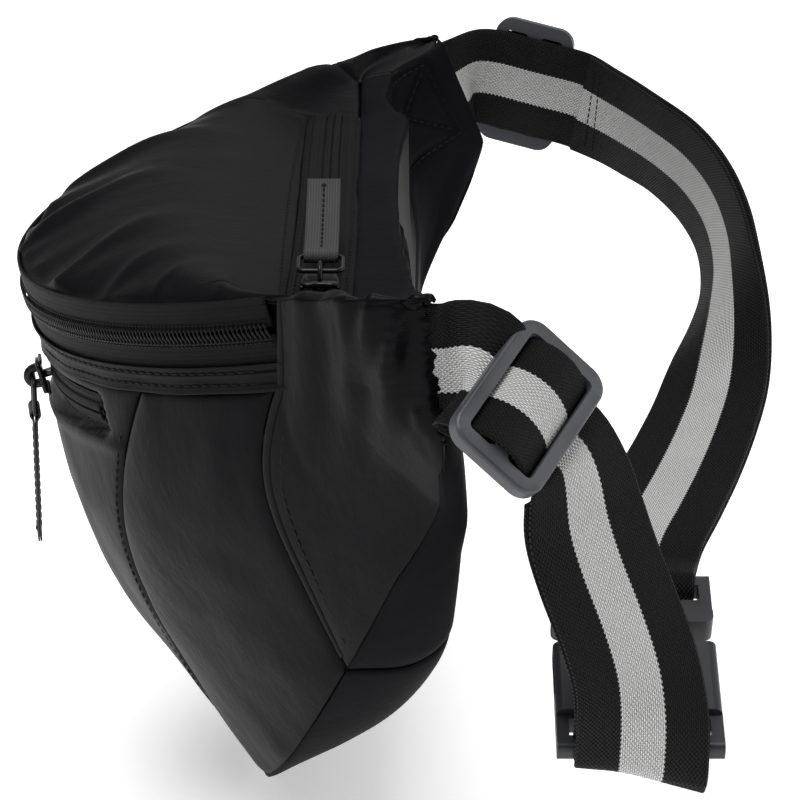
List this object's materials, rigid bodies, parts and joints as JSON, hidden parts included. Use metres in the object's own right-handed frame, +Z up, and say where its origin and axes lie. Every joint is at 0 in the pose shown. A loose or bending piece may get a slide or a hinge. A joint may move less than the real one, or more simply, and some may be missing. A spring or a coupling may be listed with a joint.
{
  "type": "waist pack",
  "caption": "Soft waist pack with a curved front zip, rear and pocket zips, padded back, gathered wings and a striped webbing belt with adjusters and a side-release buckle.",
  "frame": {"origin": "centre of the lumbar pad's flat rear face", "axes": "+Y out of the lumbar pad towards the wearer, +Z up as worn, +X along the pack towards the adjuster on the buckle's female side"},
  "size_m": [0.3354, 0.2111, 0.1857],
  "materials": {
    "shell_fabric": "smooth woven nylon with a soft sheen",
    "lining_fabric": "plain woven lining",
    "pad_mesh": "padded spacer mesh",
    "zip_tape": "close woven tape",
    "zip_teeth": "nylon coil",
    "zip_metal": "black painted die casting",
    "pull_tape": "ribbed polyester ribbon",
    "webbing": "striped woven webbing, black with a white centre",
    "hardware": "fine satin moulded plastic",
    "binding": "grosgrain binding with two stitch rows"
  },
  "bodies": {
    "pack": {"back_panel": "shell_fabric", "binding_strip": "binding", "buckle_female": "hardware", "divider": "lining_fabric", "front_panel": "shell_fabric", "front_zip_lower_tape": "zip_tape", "front_zip_teeth": "zip_teeth", "front_zip_upper_tape": "zip_tape", "lumbar_pad": "pad_mesh", "pocket_zip_lower_tape": "zip_tape", "pocket_zip_teeth": "zip_teeth", "pocket_zip_upper_tape": "zip_tape", "rear_zip_tape_back": "zip_tape", "rear_zip_tape_front": "zip_tape", "rear_zip_teeth": "zip_teeth", "side_panel_far": "shell_fabric", "side_panel_near": "shell_fabric", "top_panel": "shell_fabric", "webbing_far": "webbing", "webbing_near": "webbing", "wing_far": "shell_fabric", "wing_lining_far": "shell_fabric", "wing_lining_near": "shell_fabric", "wing_near": "shell_fabric"},
    "far_adjuster": {"adjuster_far": "hardware", "adjuster_webbing_far": "webbing"},
    "near_adjuster": {"adjuster_near": "hardware", "adjuster_webbing_near": "webbing"},
    "buckle_male": {"buckle_male": "hardware"},
    "prong_left": {"buckle_prong_left": "hardware"},
    "prong_right": {"buckle_prong_right": "hardware"},
    "front_zip_pull": {"front_zip_pull": "pull_tape"},
    "front_zip_ring": {"front_zip_ring": "zip_metal"},
    "front_zip_slider": {"front_zip_slider": "zip_metal"},
    "pocket_zip_pull": {"pocket_zip_pull": "pull_tape"},
    "pocket_zip_ring": {"pocket_zip_ring": "zip_metal"},
    "pocket_zip_slider": {"pocket_zip_slider": "zip_metal"},
    "rear_zip_pull": {"rear_zip_pull": "pull_tape"},
    "rear_zip_ring": {"rear_zip_ring": "zip_metal"},
    "rear_zip_slider": {"rear_zip_slider": "zip_metal"}
  },
  "joints": [
    {"name": "front_zip_travel", "type": "hinge", "parent": "pack", "child": "front_zip_slider", "pos_m": [0, 0.0195, 0.0702], "axis": [0, -0.2576, 0.9662], "range_deg": [0, 119], "deforming": ["front_zip_teeth"]},
    {"name": "pocket_zip_travel", "type": "hinge", "parent": "pack", "child": "pocket_zip_slider", "pos_m": [0, 0.0195, 0.0702], "axis": [0, -0.2576, 0.9662], "range_deg": [-39, 20], "deforming": ["pocket_zip_teeth"]},
    {"name": "rear_zip_travel", "type": "slide", "parent": "pack", "child": "rear_zip_slider", "axis": [-1, 0, 0], "range_m": [0, 0.16], "deforming": ["rear_zip_teeth"]},
    {"name": "front_zip_ring_swing", "type": "hinge", "parent": "front_zip_slider", "child": "front_zip_ring", "pos_m": [-0.11821, -0.04645, 0.05262], "axis": [-0.4872, 0.8733, 0], "range_deg": [0, 75]},
    {"name": "front_zip_pull_swing", "type": "hinge", "parent": "front_zip_ring", "child": "front_zip_pull", "pos_m": [-0.11821, -0.04645, 0.04302], "axis": [-0.4872, 0.8733, 0], "range_deg": [-5, 80]},
    {"name": "pocket_zip_ring_swing", "type": "hinge", "parent": "pocket_zip_slider", "child": "pocket_zip_ring", "pos_m": [0.02135, -0.10458, 0.01228], "axis": [-0.9868, -0.1618, 0], "range_deg": [0, 75]},
    {"name": "pocket_zip_pull_swing", "type": "hinge", "parent": "pocket_zip_ring", "child": "pocket_zip_pull", "pos_m": [0.02135, -0.10458, 0.00268], "axis": [-0.9868, -0.1618, 0], "range_deg": [-5, 80]},
    {"name": "rear_zip_ring_swing", "type": "hinge", "parent": "rear_zip_slider", "child": "rear_zip_ring", "pos_m": [0.091, -0.024, 0.0625], "axis": [0, 1, 0], "range_deg": [0, 150]},
    {"name": "rear_zip_pull_swing", "type": "hinge", "parent": "rear_zip_ring", "child": "rear_zip_pull", "pos_m": [0.08145, -0.024, 0.06346], "axis": [0, 1, 0], "range_deg": [-4, 25]},
    {"name": "near_adjuster_slide", "type": "slide", "parent": "pack", "child": "near_adjuster", "axis": [0.074, 0.736, -0.673], "range_m": [0, 0.005]},
    {"name": "far_adjuster_slide", "type": "slide", "parent": "pack", "child": "far_adjuster", "axis": [0.24, 0.95, -0.2], "range_m": [0, 0.005]},
    {"name": "buckle_release", "type": "slide", "parent": "pack", "child": "buckle_male", "axis": [-0.9003, 0, 0.4352], "range_m": [0, 0.03], "deforming": ["webbing_far", "buckle_prong_left", "buckle_prong_right"]},
    {"name": "prong_left_press", "type": "hinge", "parent": "buckle_male", "child": "prong_left", "pos_m": [0.11656, 0.065, -0.02295], "axis": [-0.4352, 0, -0.9003], "range_deg": [0, 13], "stiffness_Nm_per_rad": 0.4},
    {"name": "prong_right_press", "type": "hinge", "parent": "buckle_male", "child": "prong_right", "pos_m": [0.11656, 0.041, -0.02295], "axis": [0.4352, 0, 0.9003], "range_deg": [0, 13], "stiffness_Nm_per_rad": 0.4}
  ]
}
